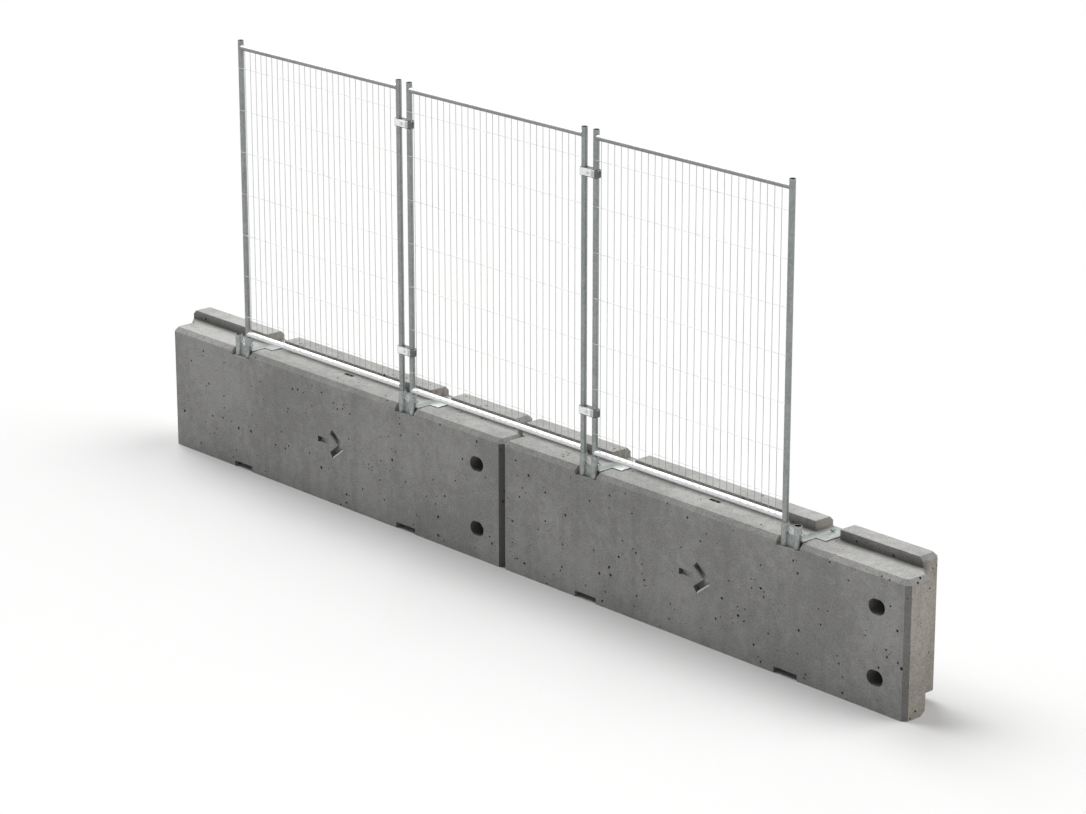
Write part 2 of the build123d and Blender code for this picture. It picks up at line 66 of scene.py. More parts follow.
Box = tuple[Vector, Vector]
Colour = tuple[float, float, float]
Face = bpy.types.MeshPolygon
Inputs = dict[str | int, object]
Mesh = bmesh.types.BMesh
Node = bpy.types.Node
Pair = tuple[float, float]
Piece = bpy.types.Object
Point = bpy.types.MeshVertex
Rule = Callable[[Face], float] | Callable[[Point], float]
Socket = bpy.types.NodeSocket
Sockets = bpy.types.bpy_prop_collection
Tree = bpy.types.NodeTree
Triple = tuple[float, float, float]


class Domain(Enum):
    """What a painted value belongs to, with the name of the mesh's list of it."""

    FACE = "polygons"
    POINT = "vertices"


class Height(Enum):
    """Level of a coupler on the panel legs."""

    LOWER = "lower"
    UPPER = "upper"


class Slot(Enum):
    """Finishes of the barrier's parts, by name."""

    CONCRETE = "concrete"
    REBAR = "reinforcing_steel"
    ANCHOR = "bare_steel"
    BRACKET = "galvanised_bracket"
    TUBE = "galvanised_tube"
    WIRE = "galvanised_wire"
    COUPLER = "galvanised_coupler"
    FASTENER = "zinc_fasteners"


class Graph:
    """Short calls for laying out the nodes of one shader tree."""

    # Numbers of the Mix node's factor, its two colours and the colour that it puts out.
    MIX_FACTOR, MIX_FIRST, MIX_SECOND, MIX_RESULT = 0, 6, 7, 2

    def __init__(self, tree: Tree) -> None:
        """Keep the tree and start it empty.

        Args:
            tree: The shader tree of a material, a world or a group.
        """
        self.tree = tree
        self.tree.nodes.clear()

    def feed(self, node: Node, inputs: Inputs) -> None:
        """Set or link inputs of a node.

        Args:
            node: The node.
            inputs: Socket name or number to a constant, or to an output socket to link.
        """
        for key, value in inputs.items():
            socket = node.inputs[key]
            if isinstance(value, Socket):
                self.tree.links.new(value, socket)
            else:
                socket.default_value = (*value, 1.0) if socket.type == "RGBA" else value

    def add(self, kind: str, inputs: Inputs | None = None, **settings: object) -> Node:
        """Add a node with its settings and inputs.

        Args:
            kind: The node's type, without the "ShaderNode" in front unless it starts with "Node".
            inputs: Inputs as for feed.
            **settings: Properties of the node.

        Returns:
            The new node.
        """
        node = self.tree.nodes.new(kind if kind.startswith("Node") else "ShaderNode" + kind)
        for name, value in settings.items():
            setattr(node, name, value)
        self.feed(node, inputs or {})
        return node

    def place(self) -> Socket:
        """Give the object coordinates, in metres."""
        return self.add("TexCoord").outputs["Object"]

    def painted(self, name: str) -> Socket:
        """Give a value that a piece carries on its own mesh, or 0 where it has none."""
        return self.add("Attribute", attribute_name=name, attribute_type="GEOMETRY").outputs["Fac"]

    def stretched(self, vector: Socket, scale: Triple) -> Socket:
        """Scale a vector by a different factor on each axis."""
        return self.add("Mapping", {"Vector": vector, "Scale": scale}).outputs["Vector"]

    def noise(self, vector: Socket, scale: object, detail: float, roughness: float = 0.5) -> Node:
        """Add a noise texture.

        Args:
            vector: The coordinates.
            scale: A value or a socket.
            detail: Number of finer layers.
            roughness: Strength of each layer beside the one before.

        Returns:
            The node.
        """
        inputs = {"Vector": vector, "Scale": scale, "Detail": detail, "Roughness": roughness}
        return self.add("TexNoise", inputs)

    def math(self, operation: str, first: object, second: object = 0.0, third: object = 0.0) -> Socket:
        """Work out one value from two or three.

        Args:
            operation: Name of the operation.
            first: A value or a socket.
            second: A value or a socket.
            third: A value or a socket, for an operation that takes three.

        Returns:
            The result.
        """
        return self.add("Math", {0: first, 1: second, 2: third}, operation=operation).outputs["Value"]

    def span(self, value: Socket, source: Pair, target: Pair = (0.0, 1.0)) -> Socket:
        """Map one range of values smoothly onto another.

        Args:
            value: The socket to map.
            source: Values that become the ends of the target.
            target: Results at and beyond the ends of the source.

        Returns:
            The mapped value.
        """
        names = ("From Min", "From Max", "To Min", "To Max")
        inputs = {"Value": value, **dict(zip(names, source + target))}
        return self.add("MapRange", inputs, interpolation_type="SMOOTHSTEP").outputs["Result"]

    def mix(self, factor: object, first: object, second: object, blend: str = "MIX") -> Socket:
        """Mix two colours.

        Args:
            factor: A value or a socket.
            first: Colour or socket at factor 0.
            second: Colour or socket at factor 1.
            blend: Name of the blend.

        Returns:
            The mixed colour.
        """
        inputs = {self.MIX_FACTOR: factor, self.MIX_FIRST: first, self.MIX_SECOND: second}
        return self.add("Mix", inputs, data_type="RGBA", blend_type=blend).outputs[self.MIX_RESULT]


def new_group(
    name: str, inputs: dict[str, float], outputs: Sequence[str]
) -> tuple[Graph, Sockets, Node]:
    """Start a shader node group with values in and out.

    Args:
        name: The group's name.
        inputs: Input names with their defaults.
        outputs: Output names.

    Returns:
        Its graph, the sockets of its inputs and the node of its outputs.
    """
    tree = bpy.data.node_groups.new(name, "ShaderNodeTree")
    for key, value in inputs.items():
        socket = tree.interface.new_socket(name=key, in_out="INPUT", socket_type="NodeSocketFloat")
        socket.default_value = value
    for key in outputs:
        tree.interface.new_socket(name=key, in_out="OUTPUT", socket_type="NodeSocketFloat")
    graph = Graph(tree)
    return graph, graph.add("NodeGroupInput").outputs, graph.add("NodeGroupOutput")


@dataclass
class Effects:
    """Shader node groups that several finishes share."""

    broad_detail: float = 6.0
    broad_share: float = 0.6
    finer_ratio: float = 9.0
    finer_detail: float = 5.0
    finer_share: float = 0.4
    tone_range: Pair = (0.36, 0.64)
    grain_detail: float = 9.0
    grain_roughness: float = 0.84
    pore_least: float = 0.2
    pore_spread: float = 0.8
    pore_edge: float = 0.14
    bend_scale: float = 40.0
    bend_detail: float = 2.0
    bend_reach: float = 0.012
    run_shape: Triple = (1.0, 1.0, 0.06)
    run_detail: float = 5.0
    run_range: Pair = (0.46, 0.72)

    def __post_init__(self) -> None:
        """Build every group once."""
        self.mottle = self._mottle()
        self.pores = self._pores()
        self.spangle = self._spangle()
        self.stain = self._stain()

    def _mottle(self) -> Tree:
        """Cloudy tone of a cast or coated surface, with a fine grain.

        Returns:
            The group, with Tone for the clouds and Grain for the fine speckle.
        """
        scales = {"Cloud Scale": 2.0, "Grain Scale": 300.0}
        graph, given, result = new_group("cloudy_mottle", scales, ("Tone", "Grain"))
        place = graph.place()
        broad = graph.noise(place, given["Cloud Scale"], self.broad_detail)
        finer_scale = graph.math("MULTIPLY", given["Cloud Scale"], self.finer_ratio)
        finer = graph.noise(place, finer_scale, self.finer_detail)
        clouds = graph.math("MULTIPLY", broad.outputs["Fac"], self.broad_share)
        tone = graph.math("MULTIPLY_ADD", finer.outputs["Fac"], self.finer_share, clouds)
        grain = graph.noise(place, given["Grain Scale"], self.grain_detail, self.grain_roughness)
        graph.feed(result, {"Tone": graph.span(tone, self.tone_range), "Grain": grain.outputs["Fac"]})
        return graph.tree

    def _pores(self) -> Tree:
        """Small round pores scattered over a surface, some cells left without one.

        Returns:
            The group, with Mask at 1 inside a pore.
        """
        sizes = {"Scale": 60.0, "Size": 0.16, "Share": 0.35}
        graph, given, result = new_group("small_pores", sizes, ("Mask",))
        cells = graph.add("TexVoronoi", {"Vector": graph.place(), "Scale": given["Scale"]})
        pick = graph.add("SeparateColor", {"Color": cells.outputs["Color"]})
        kept = graph.math("LESS_THAN", pick.outputs["Red"], given["Share"])
        spread = graph.math("MULTIPLY_ADD", pick.outputs["Green"], self.pore_spread, self.pore_least)
        radius = graph.math("MULTIPLY", given["Size"], spread)
        depth = graph.math("SUBTRACT", 1.0, graph.math("DIVIDE", cells.outputs["Distance"], radius))
        inside = graph.span(depth, (0.0, self.pore_edge))
        graph.feed(result, {"Mask": graph.math("MULTIPLY", inside, kept)})
        return graph.tree

    def _spangle(self) -> Tree:
        """Patchwork of crystals on hot-dip galvanised steel.

        Returns:
            The group, with Tone that steps from crystal to crystal.
        """
        graph, given, result = new_group("zinc_spangle", {"Scale": 90.0}, ("Tone",))
        place = graph.place()
        bend = graph.noise(place, self.bend_scale, self.bend_detail).outputs["Color"]
        shifted = graph.add("VectorMath", {0: bend, "Scale": self.bend_reach}, operation="SCALE")
        moved = graph.add("VectorMath", {0: place, 1: shifted.outputs["Vector"]}, operation="ADD")
        cells = graph.add("TexVoronoi", {"Vector": moved.outputs["Vector"], "Scale": given["Scale"]})
        pick = graph.add("SeparateColor", {"Color": cells.outputs["Color"]})
        graph.feed(result, {"Tone": pick.outputs["Blue"]})
        return graph.tree

    def _stain(self) -> Tree:
        """Runs that water leaves down an upright surface.

        Returns:
            The group, with Mask at 1 in the middle of a run.
        """
        graph, given, result = new_group("water_runs", {"Scale": 14.0}, ("Mask",))
        drawn = graph.stretched(graph.place(), self.run_shape)
        runs = graph.noise(drawn, given["Scale"], self.run_detail)
        graph.feed(result, {"Mask": graph.span(runs.outputs["Fac"], self.run_range)})
        return graph.tree


def start_material(name: str) -> tuple[bpy.types.Material, Graph, Node]:
    """Start a material with one principled shader.

    Args:
        name: Its name.

    Returns:
        The material, its graph and the shader.
    """
    material = bpy.data.materials.new(name)
    material.use_nodes = True
    graph = Graph(material.node_tree)
    shader = graph.add("BsdfPrincipled")
    graph.add("OutputMaterial", {"Surface": shader.outputs["BSDF"]})
    return material, graph, shader


@dataclass(frozen=True)
class CastConcrete:
    """Concrete as it leaves a smooth form: grey with speckle, pores and faint runs."""

    light: Colour = (0.385, 0.382, 0.372)
    dark: Colour = (0.2, 0.199, 0.194)
    chalk: Colour = (0.62, 0.62, 0.61)
    # Near-black colour of the painted shade in pores, holes, recesses and the arrow.
    hole_shade_colour: Colour = (0.035, 0.035, 0.034)
    # Colour of the water runs, and of the painted shade on the front bevels and at the rib's inner corner.
    stain: Colour = (0.07, 0.069, 0.066)
    dust: Colour = (1.06, 1.0, 0.91)
    bleach: Colour = (1.2, 1.2, 1.195)
    cloud_scale: float = 2.2
    cloud_share: float = 0.45
    speckle_scale: float = 95.0
    speckle_range: Pair = (0.42, 0.58)
    speckle_share: float = 0.55
    pore_scale: float = 58.0
    pore_size: float = 0.2
    pore_share: float = 0.45
    pore_shade: float = 0.85
    run_scale: float = 11.0
    run_share: float = 0.14
    arris_shade_share: float = 0.85
    inner_corner: Triple = (0.0, 0.0355, 0.745)
    across_unit: Triple = (0.0, 1.0, 1.0)
    corner_reach: float = 0.06
    corner_shade_share: float = 0.6
    recess_shade_range: Pair = (0.05, 0.6)
    recess_shade_share: float = 0.7
    grain_height: float = 0.35
    relief: float = 0.0015
    relief_share: float = 0.6
    grain_range: Pair = (0.3, 0.7)
    roughness: Pair = (0.82, 0.95)

    def make(self, name: str, effects: Effects) -> bpy.types.Material:
        """Build the material.

        Args:
            name: Its name.
            effects: The shared node groups.

        Returns:
            The material.
        """
        material, graph, shader = start_material(name)
        scales = {"Cloud Scale": self.cloud_scale, "Grain Scale": self.speckle_scale}
        mottle = graph.add("Group", scales, node_tree=effects.mottle).outputs
        pits = {"Scale": self.pore_scale, "Size": self.pore_size, "Share": self.pore_share}
        # Painted shade: the pores are darkened as well as sunk.
        pores = graph.add("Group", pits, node_tree=effects.pores).outputs["Mask"]
        small = graph.math("MULTIPLY", pores, self.pore_shade)
        tone = self._surface(graph, mottle)
        runs = graph.add("Group", {"Scale": self.run_scale}, node_tree=effects.stain).outputs["Mask"]
        # Water runs are stains; the second mask is painted shade on the upright front bevels, darkest in
        # the joint between the units.
        stains_and_shade = ((runs, self.run_share), (graph.painted("arris"), self.arris_shade_share))
        for mask, share in stains_and_shade:
            tone = graph.mix(graph.math("MULTIPLY", mask, share), tone, self.stain)
        # Painted shade: darker near the inner corner at the foot of the rib's front face.
        across = graph.stretched(graph.place(), self.across_unit)
        away = graph.add("VectorMath", {0: across, 1: self.inner_corner}, operation="DISTANCE")
        corner_shade = graph.span(away.outputs["Value"], (0.0, self.corner_reach), (self.corner_shade_share, 0.0))
        tone = graph.mix(corner_shade, tone, self.stain)
        # Painted highlight on the arrow's sloped lip.
        tone = graph.mix(graph.painted("chalk"), tone, self.chalk)
        # Painted shade in the arrow's barbs, deeper points darker, and in the holes and recesses that the
        # unit marks.
        recess = graph.span(graph.painted("recess"), self.recess_shade_range, (0.0, self.recess_shade_share))
        hollow_shade = graph.math("MAXIMUM", recess, graph.painted("hole_depth"))
        tone = graph.mix(graph.math("MAXIMUM", small, hollow_shade), tone, self.hole_shade_colour)
        sunk = graph.math("SUBTRACT", 0.0, small)
        height = graph.math("MULTIPLY_ADD", mottle["Grain"], self.grain_height, sunk)
        bump = graph.add("Bump", {"Height": height, "Strength": self.relief_share, "Distance": self.relief})
        roughness = graph.span(mottle["Grain"], self.grain_range, self.roughness)
        normal = bump.outputs["Normal"]
        graph.feed(shader, {"Base Color": tone, "Roughness": roughness, "Normal": normal})
        return material

    def _surface(self, graph: Graph, mottle: Sockets) -> Socket:
        """Lay the plain tone of the concrete, with painted warm light on the ends and painted light on the
        tops.

        Args:
            graph: The material's graph.
            mottle: Outputs of the cloudy mottle.

        Returns:
            The tone.
        """
        specks = graph.span(mottle["Grain"], self.speckle_range)
        clouds = graph.math("MULTIPLY", mottle["Tone"], self.cloud_share)
        patches = graph.math("MULTIPLY_ADD", specks, self.speckle_share, clouds)
        tone = graph.mix(patches, self.dark, self.light)
        # Painted warm light on the ends and painted light on the tops.
        for mask, tint in (("dust", self.dust), ("bleach", self.bleach)):
            tone = graph.mix(graph.painted(mask), tone, graph.mix(1.0, tone, tint, "MULTIPLY"))
        return tone


@dataclass(frozen=True)
class Zinc:
    """Zinc coat on steel, from dull hot-dip to bright plating, with painted shade where a piece marks it.
    """

    light: Colour
    dark: Colour
    gloss: Pair = (0.42, 0.32)
    grime: Colour = (0.02, 0.02, 0.02)
    spangle_scale: float = 90.0
    spangle_share: float = 0.55
    cloud_scale: float = 9.0
    cloud_share: float = 0.45
    grain_scale: float = 700.0
    run_scale: float = 60.0
    run_share: float = 0.35
    relief: float = 0.0003
    relief_share: float = 0.12
    patch_range: Pair = (0.2, 0.8)

    def make(self, name: str, effects: Effects) -> bpy.types.Material:
        """Build the material.

        Args:
            name: Its name.
            effects: The shared node groups.

        Returns:
            The material.
        """
        material, graph, shader = start_material(name)
        spangle = graph.add("Group", {"Scale": self.spangle_scale}, node_tree=effects.spangle)
        scales = {"Cloud Scale": self.cloud_scale, "Grain Scale": self.grain_scale}
        mottle = graph.add("Group", scales, node_tree=effects.mottle).outputs
        runs = graph.add("Group", {"Scale": self.run_scale}, node_tree=effects.stain).outputs["Mask"]
        clouds = graph.math("MULTIPLY", mottle["Tone"], self.cloud_share)
        patches = graph.math("MULTIPLY_ADD", spangle.outputs["Tone"], self.spangle_share, clouds)
        tone = graph.mix(patches, self.dark, self.light)
        tone = graph.mix(graph.math("MULTIPLY", runs, self.run_share), tone, self.dark)
        # Painted shade where a piece marks it: in bores, under the top rail and on the coupler's edges and
        # wrap.
        tone = graph.mix(graph.painted("grime"), tone, self.grime)
        relief = {"Height": mottle["Grain"], "Strength": self.relief_share, "Distance": self.relief}
        normal = graph.add("Bump", relief).outputs["Normal"]
        roughness = graph.span(patches, self.patch_range, self.gloss)
        inputs = {"Base Color": tone, "Roughness": roughness, "Normal": normal, "Metallic": 1.0}
        graph.feed(shader, inputs)
        return material


@dataclass(frozen=True)
class RolledBar:
    """Reinforcing steel as rolled, with a light rust."""

    scale: Colour = (0.16, 0.13, 0.12)
    rust: Colour = (0.3, 0.13, 0.06)
    cloud_scale: float = 14.0
    grain_scale: float = 500.0
    metallic: float = 0.4
    grain_range: Pair = (0.3, 0.7)
    roughness: Pair = (0.55, 0.85)

    def make(self, name: str, effects: Effects) -> bpy.types.Material:
        """Build the material.

        Args:
            name: Its name.
            effects: The shared node groups.

        Returns:
            The material.
        """
        material, graph, shader = start_material(name)
        scales = {"Cloud Scale": self.cloud_scale, "Grain Scale": self.grain_scale}
        mottle = graph.add("Group", scales, node_tree=effects.mottle).outputs
        tone = graph.mix(mottle["Tone"], self.scale, self.rust)
        roughness = graph.span(mottle["Grain"], self.grain_range, self.roughness)
        graph.feed(shader, {"Base Color": tone, "Roughness": roughness, "Metallic": self.metallic})
        return material


class Finishes:
    """Every material of the barrier, by the slot it stands for."""

    def __init__(self) -> None:
        """Build the materials on the shared effects."""
        effects = Effects()
        bright, dull = (0.28, 0.16), (0.55, 0.42)
        coats = {
            Slot.ANCHOR: Zinc((0.34, 0.34, 0.33), (0.2, 0.2, 0.195)),
            Slot.BRACKET: Zinc((0.4, 0.42, 0.41), (0.25, 0.268, 0.26), dull),
            Slot.TUBE: Zinc((0.31, 0.325, 0.318), (0.215, 0.23, 0.224)),
            Slot.WIRE: Zinc((0.5, 0.51, 0.505), (0.36, 0.37, 0.365)),
            Slot.COUPLER: Zinc((0.86, 0.87, 0.87), (0.68, 0.69, 0.69), bright),
            Slot.FASTENER: Zinc((0.78, 0.8, 0.8), (0.55, 0.57, 0.57), bright),
        }
        self.by_slot = {slot: coat.make(slot.value + "_coat", effects) for slot, coat in coats.items()}
        self.by_slot[Slot.CONCRETE] = CastConcrete().make("cast_concrete", effects)
        self.by_slot[Slot.REBAR] = RolledBar().make("rolled_bar", effects)
        # Painted light: a lighter copy of the tube's zinc for the rails, whose tops catch the light.
        self.rail = Zinc((0.72, 0.73, 0.725), (0.56, 0.57, 0.565)).make("rail_coat", effects)
        # Painted shade: a darker copy of the wire's zinc for the upright wires, beside the lighter cross
        # wires.
        self.upright = Zinc((0.38, 0.39, 0.385), (0.27, 0.28, 0.275)).make("upright_wire_coat", effects)
        self.bolt = Zinc((0.3, 0.36, 0.33), (0.1, 0.13, 0.115), bright).make("strap_bolt_coat", effects)

    def dress(self, piece: Piece, slot: Slot) -> None:
        """Give a piece, or a node that stays as it is, the one material of a slot."""
        piece.data.materials.clear()
        piece.data.materials.append(self.by_slot[slot])


def merged(node: str) -> Mesh:
    """Copy a node's solids, with their seams merged.

    Args:
        node: The node's name.

    Returns:
        The copy.
    """
    copy = bmesh.new()
    copy.from_mesh(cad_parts[node].data)
    bmesh.ops.remove_doubles(copy, verts=copy.verts, dist=MERGE_DISTANCE)
    return copy


def copy_of(node: str) -> Mesh:
    """Copy a node's solids, with their seams merged and their flat faces joined.

    Args:
        node: The node's name.

    Returns:
        The copy.
    """
    copy = merged(node)
    bmesh.ops.dissolve_limit(
        copy,
        angle_limit=math.radians(FLAT_ANGLE),
        use_dissolve_boundaries=False,
        verts=copy.verts,
        edges=copy.edges,
    )
    return copy


def connected(start: Iterable[bmesh.types.BMVert]) -> set[bmesh.types.BMVert]:
    """Find every vertex that edges join to the first ones.

    Args:
        start: The first vertices.

    Returns:
        All of them.
    """
    reached = set(start)
    waiting = list(reached)
    while waiting:
        vertex = waiting.pop()
        near = {edge.other_vert(vertex) for edge in vertex.link_edges} - reached
        reached |= near
        waiting.extend(near)
    return reached


def solids_of(node: str) -> list[Box]:
    """Find the box of each separate solid in a node.

    Args:
        node: The node's name.

    Returns:
        Lowest and highest corners, ordered along X and then Z.
    """
    mesh = merged(node)
    waiting = set(mesh.verts)
    boxes = []
    while waiting:
        solid = connected([next(iter(waiting))])
        waiting -= solid
        columns = list(zip(*(vertex.co for vertex in solid)))
        boxes.append((Vector(map(min, columns)), Vector(map(max, columns))))
    mesh.free()
    return sorted(boxes, key=lambda box: [round(box[0][axis], ORDER_DECIMALS) for axis in (0, 2)])


def bevel(mesh: Mesh, edges: list[bmesh.types.BMEdge], width: float, segments: int) -> dict:
    """Bevel edges round.

    Args:
        mesh: The mesh to work on.
        edges: The edges.
        width: Width of the bevel.
        segments: Number of faces across it.

    Returns:
        What the operator made.
    """
    return bmesh.ops.bevel(
        mesh,
        geom=edges,
        offset=width,
        offset_type="OFFSET",
        segments=segments,
        profile=0.5,
        affect="EDGES",
        clamp_overlap=True,
        material=-1,
    )


def link(name: str, data: bpy.types.Mesh) -> Piece:
    """Put a mesh into the scene as an object at the origin.

    Args:
        name: The object's name.
        data: The mesh.

    Returns:
        The object.
    """
    piece = bpy.data.objects.new(name, data)
    bpy.context.scene.collection.objects.link(piece)
    return piece


def shade(data: bpy.types.Mesh, smooth_below: float) -> None:
    """Shade a mesh smooth where faces meet at less than an angle in degrees."""
    data.shade_smooth()
    data.set_sharp_from_angle(angle=math.radians(smooth_below))


def as_piece(mesh: Mesh, name: str, smooth_below: float = 20.0) -> Piece:
    """Turn a mesh into an object at the origin.

    Args:
        mesh: The mesh, which is used up.
        name: The object's name.
        smooth_below: Angle in degrees below which an edge is shaded smooth.

    Returns:
        The object.
    """
    data = bpy.data.meshes.new(name)
    mesh.to_mesh(data)
    mesh.free()
    shade(data, smooth_below)
    return link(name, data)


@dataclass(frozen=True)
class Edging:
    """How the edges of a copied node are rounded and shaded."""

    width: float
    segments: int = 2
    least_angle: float = 35.0
    smooth_below: float = 20.0

    def rounded(self, node: str, name: str) -> Piece:
        """Copy a node with its sharp edges rounded.

        Args:
            node: The node's name.
            name: The new piece's name.

        Returns:
            The piece.
        """
        mesh = copy_of(node)
        limit = math.radians(self.least_angle)
        edges = [edge for edge in mesh.edges if edge.is_manifold and edge.calc_face_angle() > limit]
        bevel(mesh, edges, self.width, self.segments)
        return as_piece(mesh, name, self.smooth_below)


def paint(piece: Piece, name: str, rule: Rule, domain: Domain = Domain.FACE) -> None:
    """Give every face or point of a piece a value that its material reads.

    Args:
        piece: The piece.
        name: Name of the value.
        rule: Works out the value of a face or a point.
        domain: What the value belongs to.
    """
    layer = piece.data.attributes.new(name, "FLOAT", domain.name)
    for item in getattr(piece.data, domain.value):
        layer.data[item.index].value = rule(item)


def bore_rule(axes: Sequence[Pair], radius: float, upright: float = 0.5) -> Rule:
    """Make the rule that marks the faces inside upright round bores, where no light reaches, for painted
    shade.

    Args:
        axes: X and Y of each bore.
        radius: Radius within which an upright face belongs to a bore.
        upright: Slope of a face's direction up to which it is upright.

    Returns:
        The rule.
    """

    def rule(face: Face) -> float:
        """Mark a face that looks at the axis of a bore.

        Args:
            face: The face.

        Returns:
            1 for such a face, and otherwise 0.
        """
        for x, y in axes:
            away = Vector((face.center.x - x, face.center.y - y, 0.0))
            if away.length < radius and away.dot(face.normal) <= 0.0 and abs(face.normal.z) < upright:
                return 1.0
        return 0.0

    return rule


def turned_to(axis: Vector, place: Vector) -> Matrix:
    """Make the matrix that sets a shape's Z along an axis, with its origin at a place."""
    return Matrix.Translation(place) @ axis.to_track_quat("Z", "Y").to_matrix().to_4x4()


@dataclass(frozen=True)
class Hexagon:
    """A hexagon head or nut with a bevelled crown."""

    across: float
    height: float
    crown_share: float = 0.07
    crown_segments: int = 2

    def add(self, mesh: Mesh, seat: Vector, axis: Vector) -> None:
        """Add one to a mesh, standing on its seat.

        Args:
            mesh: The mesh to add to.
            seat: Middle of the face that bears.
            axis: Direction from the seat to the crown.
        """
        middle = self.height / 2
        radius = self.across / math.sqrt(3.0)
        made = bmesh.ops.create_cone(
            mesh,
            cap_ends=True,
            segments=6,
            radius1=radius,
            radius2=radius,
            depth=self.height,
            matrix=Matrix.Translation(UP * middle),
        )["verts"]
        edges = {edge for vertex in made for edge in vertex.link_edges}
        crown = [edge for edge in edges if all(vertex.co.z > middle for vertex in edge.verts)]
        bevelled = bevel(mesh, crown, self.across * self.crown_share, self.crown_segments)
        verts = {vertex for vertex in made if vertex.is_valid} | set(bevelled["verts"])
        bmesh.ops.transform(mesh, matrix=turned_to(axis, seat), verts=list(verts))


@dataclass(frozen=True)
class Thread:
    """A threaded rod, as a row of V-shaped rings."""

    radius: float
    pitch: float
    depth_share: float = 0.55
    steps: int = 20
    seam: float = 1e-6

    def add(self, mesh: Mesh, start: Vector, end: Vector) -> None:
        """Add a length of it to a mesh.

        Args:
            mesh: The mesh to add to.
            start: Where the thread begins.
            end: Where it ends.
        """
        length = (end - start).length
        root = self.radius - self.pitch * self.depth_share
        turns = max(1, int(length / self.pitch))
        points = [(0.0, 0.0), (root, 0.0)]
        for index in range(turns):
            points.append((self.radius, length * (index + 0.5) / turns))
            points.append((root, length * (index + 1) / turns))
        points.append((0.0, length))
        verts = [mesh.verts.new((x, 0.0, z)) for x, z in points]
        edges = [mesh.edges.new(pair) for pair in zip(verts, verts[1:])]
        bmesh.ops.spin(
            mesh,
            geom=verts + edges,
            cent=Vector(),
            axis=UP,
            angle=math.tau,
            steps=self.steps,
            use_merge=True,
        )
        reached = connected(vertex for vertex in verts if vertex.is_valid)
        bmesh.ops.remove_doubles(mesh, verts=list(reached), dist=self.seam)
        kept = [vertex for vertex in reached if vertex.is_valid]
        faces = {face for vertex in kept for face in vertex.link_faces}
        bmesh.ops.recalc_face_normals(mesh, faces=list(faces))
        bmesh.ops.transform(mesh, matrix=turned_to((end - start).normalized(), start), verts=kept)


def add_bar(mesh: Mesh, start: Vector, end: Vector, radius: float, sides: int) -> None:
    """Add a round bar with closed ends.

    Args:
        mesh: The mesh to add to.
        start: Middle of one end.
        end: Middle of the other end.
        radius: Radius of the bar.
        sides: Number of faces round it.
    """
    bmesh.ops.create_cone(
        mesh,
        cap_ends=True,
        segments=sides,
        radius1=radius,
        radius2=radius,
        depth=(end - start).length,
        matrix=turned_to((end - start).normalized(), (start + end) / 2),
    )


def weld_beads(paths: Iterable[Sequence[Vector]], radius: float, name: str, ripple: float = 0.16) -> Piece:
    """Lay rippled weld beads along paths, as one piece.

    Args:
        paths: Points of each bead, in order.
        radius: Mean radius of the bead.
        name: The piece's name.
        ripple: Share by which the radius swings from point to point.

    Returns:
        The piece.
    """
    curve = bpy.data.curves.new(name, "CURVE")
    curve.dimensions = "3D"
    curve.bevel_depth = radius
    curve.bevel_resolution = 2
    curve.use_fill_caps = True
    for path in paths:
        spline = curve.splines.new("POLY")
        spline.points.add(len(path) - 1)
        for index, (point, place) in enumerate(zip(spline.points, path)):
            point.co = (*place, 1.0)
            point.radius = 1.0 + ripple * (-1) ** index
    holder = bpy.data.objects.new(name, curve)
    data = bpy.data.meshes.new_from_object(holder)
    bpy.data.objects.remove(holder)
    data.name = name
    data.shade_smooth()
    return link(name, data)


@dataclass
class SubAssembly:
    """A group of pieces and the materials that dress them."""

    finishes: Finishes

    def fit(self, piece: Piece, body: str, slot: Slot, *nodes: str) -> None:
        """Dress a piece, put it on its body and let it stand for its nodes.

        Args:
            piece: The finished piece.
            body: Name of the body it moves with.
            slot: Its finish.
            *nodes: Nodes that it stands for.
        """
        self.finishes.dress(piece, slot)
        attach(piece, body)
        if nodes:
            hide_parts(*nodes)
        LOG.info("%s: %d faces on %s", piece.name, len(piece.data.polygons), body)


class AirHole(NamedTuple):
    """Place, direction and size of one air hole."""

    spot: Vector
    normal: Vector
    radius: float


